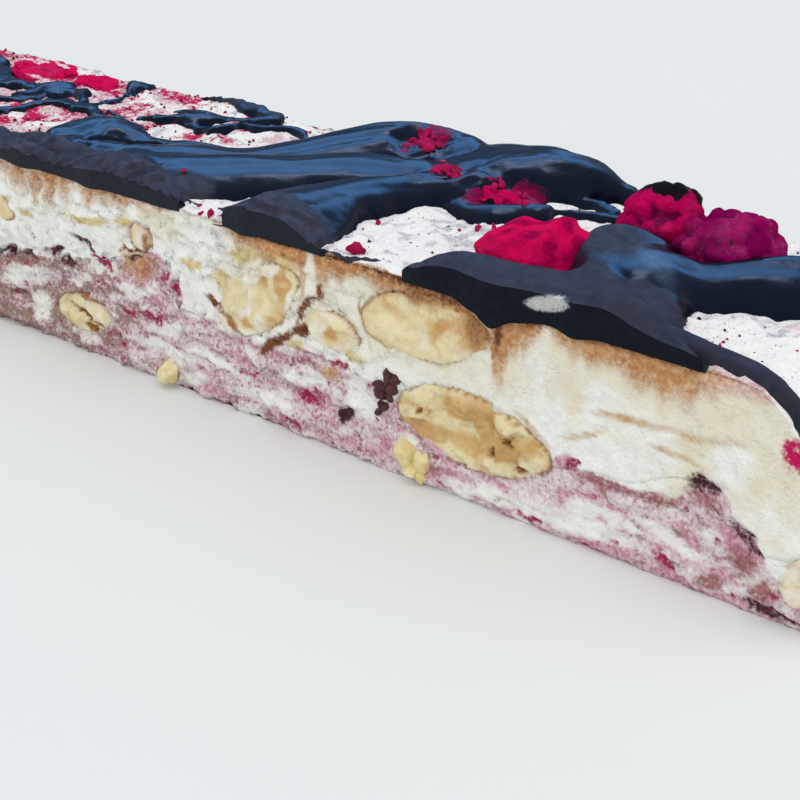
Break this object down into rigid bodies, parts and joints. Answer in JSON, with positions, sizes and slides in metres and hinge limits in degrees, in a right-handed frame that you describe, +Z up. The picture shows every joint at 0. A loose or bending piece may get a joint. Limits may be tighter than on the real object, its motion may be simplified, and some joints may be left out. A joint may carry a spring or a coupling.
{
  "type": "nougat bar",
  "caption": "Hand-cut bar of layered raspberry and cream nougat with cut almonds in its sides, dark chocolate piped over the top and dried raspberry pieces; it lies flat on its base.",
  "frame": {"origin": "middle of the base, on the surface that the bar lies on", "axes": "+X along the bar, +Y across it from the shown side to the far side, +Z up"},
  "size_m": [0.15, 0.03, 0.0262],
  "materials": {
    "berry_nougat": "raspberry nougat, matte and crumbly where the knife cut it",
    "cream_nougat": "cream nougat, matte with smears and small cracks",
    "almond": "roasted almond, cut through, waxy",
    "small_nut": "small nut, cut through, waxy",
    "raspberry": "freeze-dried raspberry, dull and wrinkled",
    "chocolate": "dark chocolate, glossy where it set, dull where the knife cut it"
  },
  "bodies": {
    "root": {"almond_01": "almond", "almond_02": "almond", "almond_03": "almond", "almond_04": "almond", "almond_05": "almond", "almond_06": "almond", "almond_07": "almond", "almond_08": "almond", "almond_09": "almond", "almond_10": "almond", "almond_11": "almond", "almond_12": "almond", "almond_13": "almond", "almond_14": "almond", "almond_15": "almond", "almond_16": "almond", "almond_17": "almond", "almond_18": "almond", "berry_nougat": "berry_nougat", "chocolate": "chocolate", "cream_nougat": "cream_nougat", "raspberry_bit_left": "raspberry", "raspberry_bit_middle": "raspberry", "raspberry_bit_right": "raspberry", "raspberry_end": "raspberry", "raspberry_flake": "raspberry", "raspberry_left": "raspberry", "raspberry_middle": "raspberry", "raspberry_tail": "raspberry", "raspberry_tall": "raspberry", "raspberry_wide": "raspberry", "small_nut": "small_nut"}
  },
  "joints": []
}
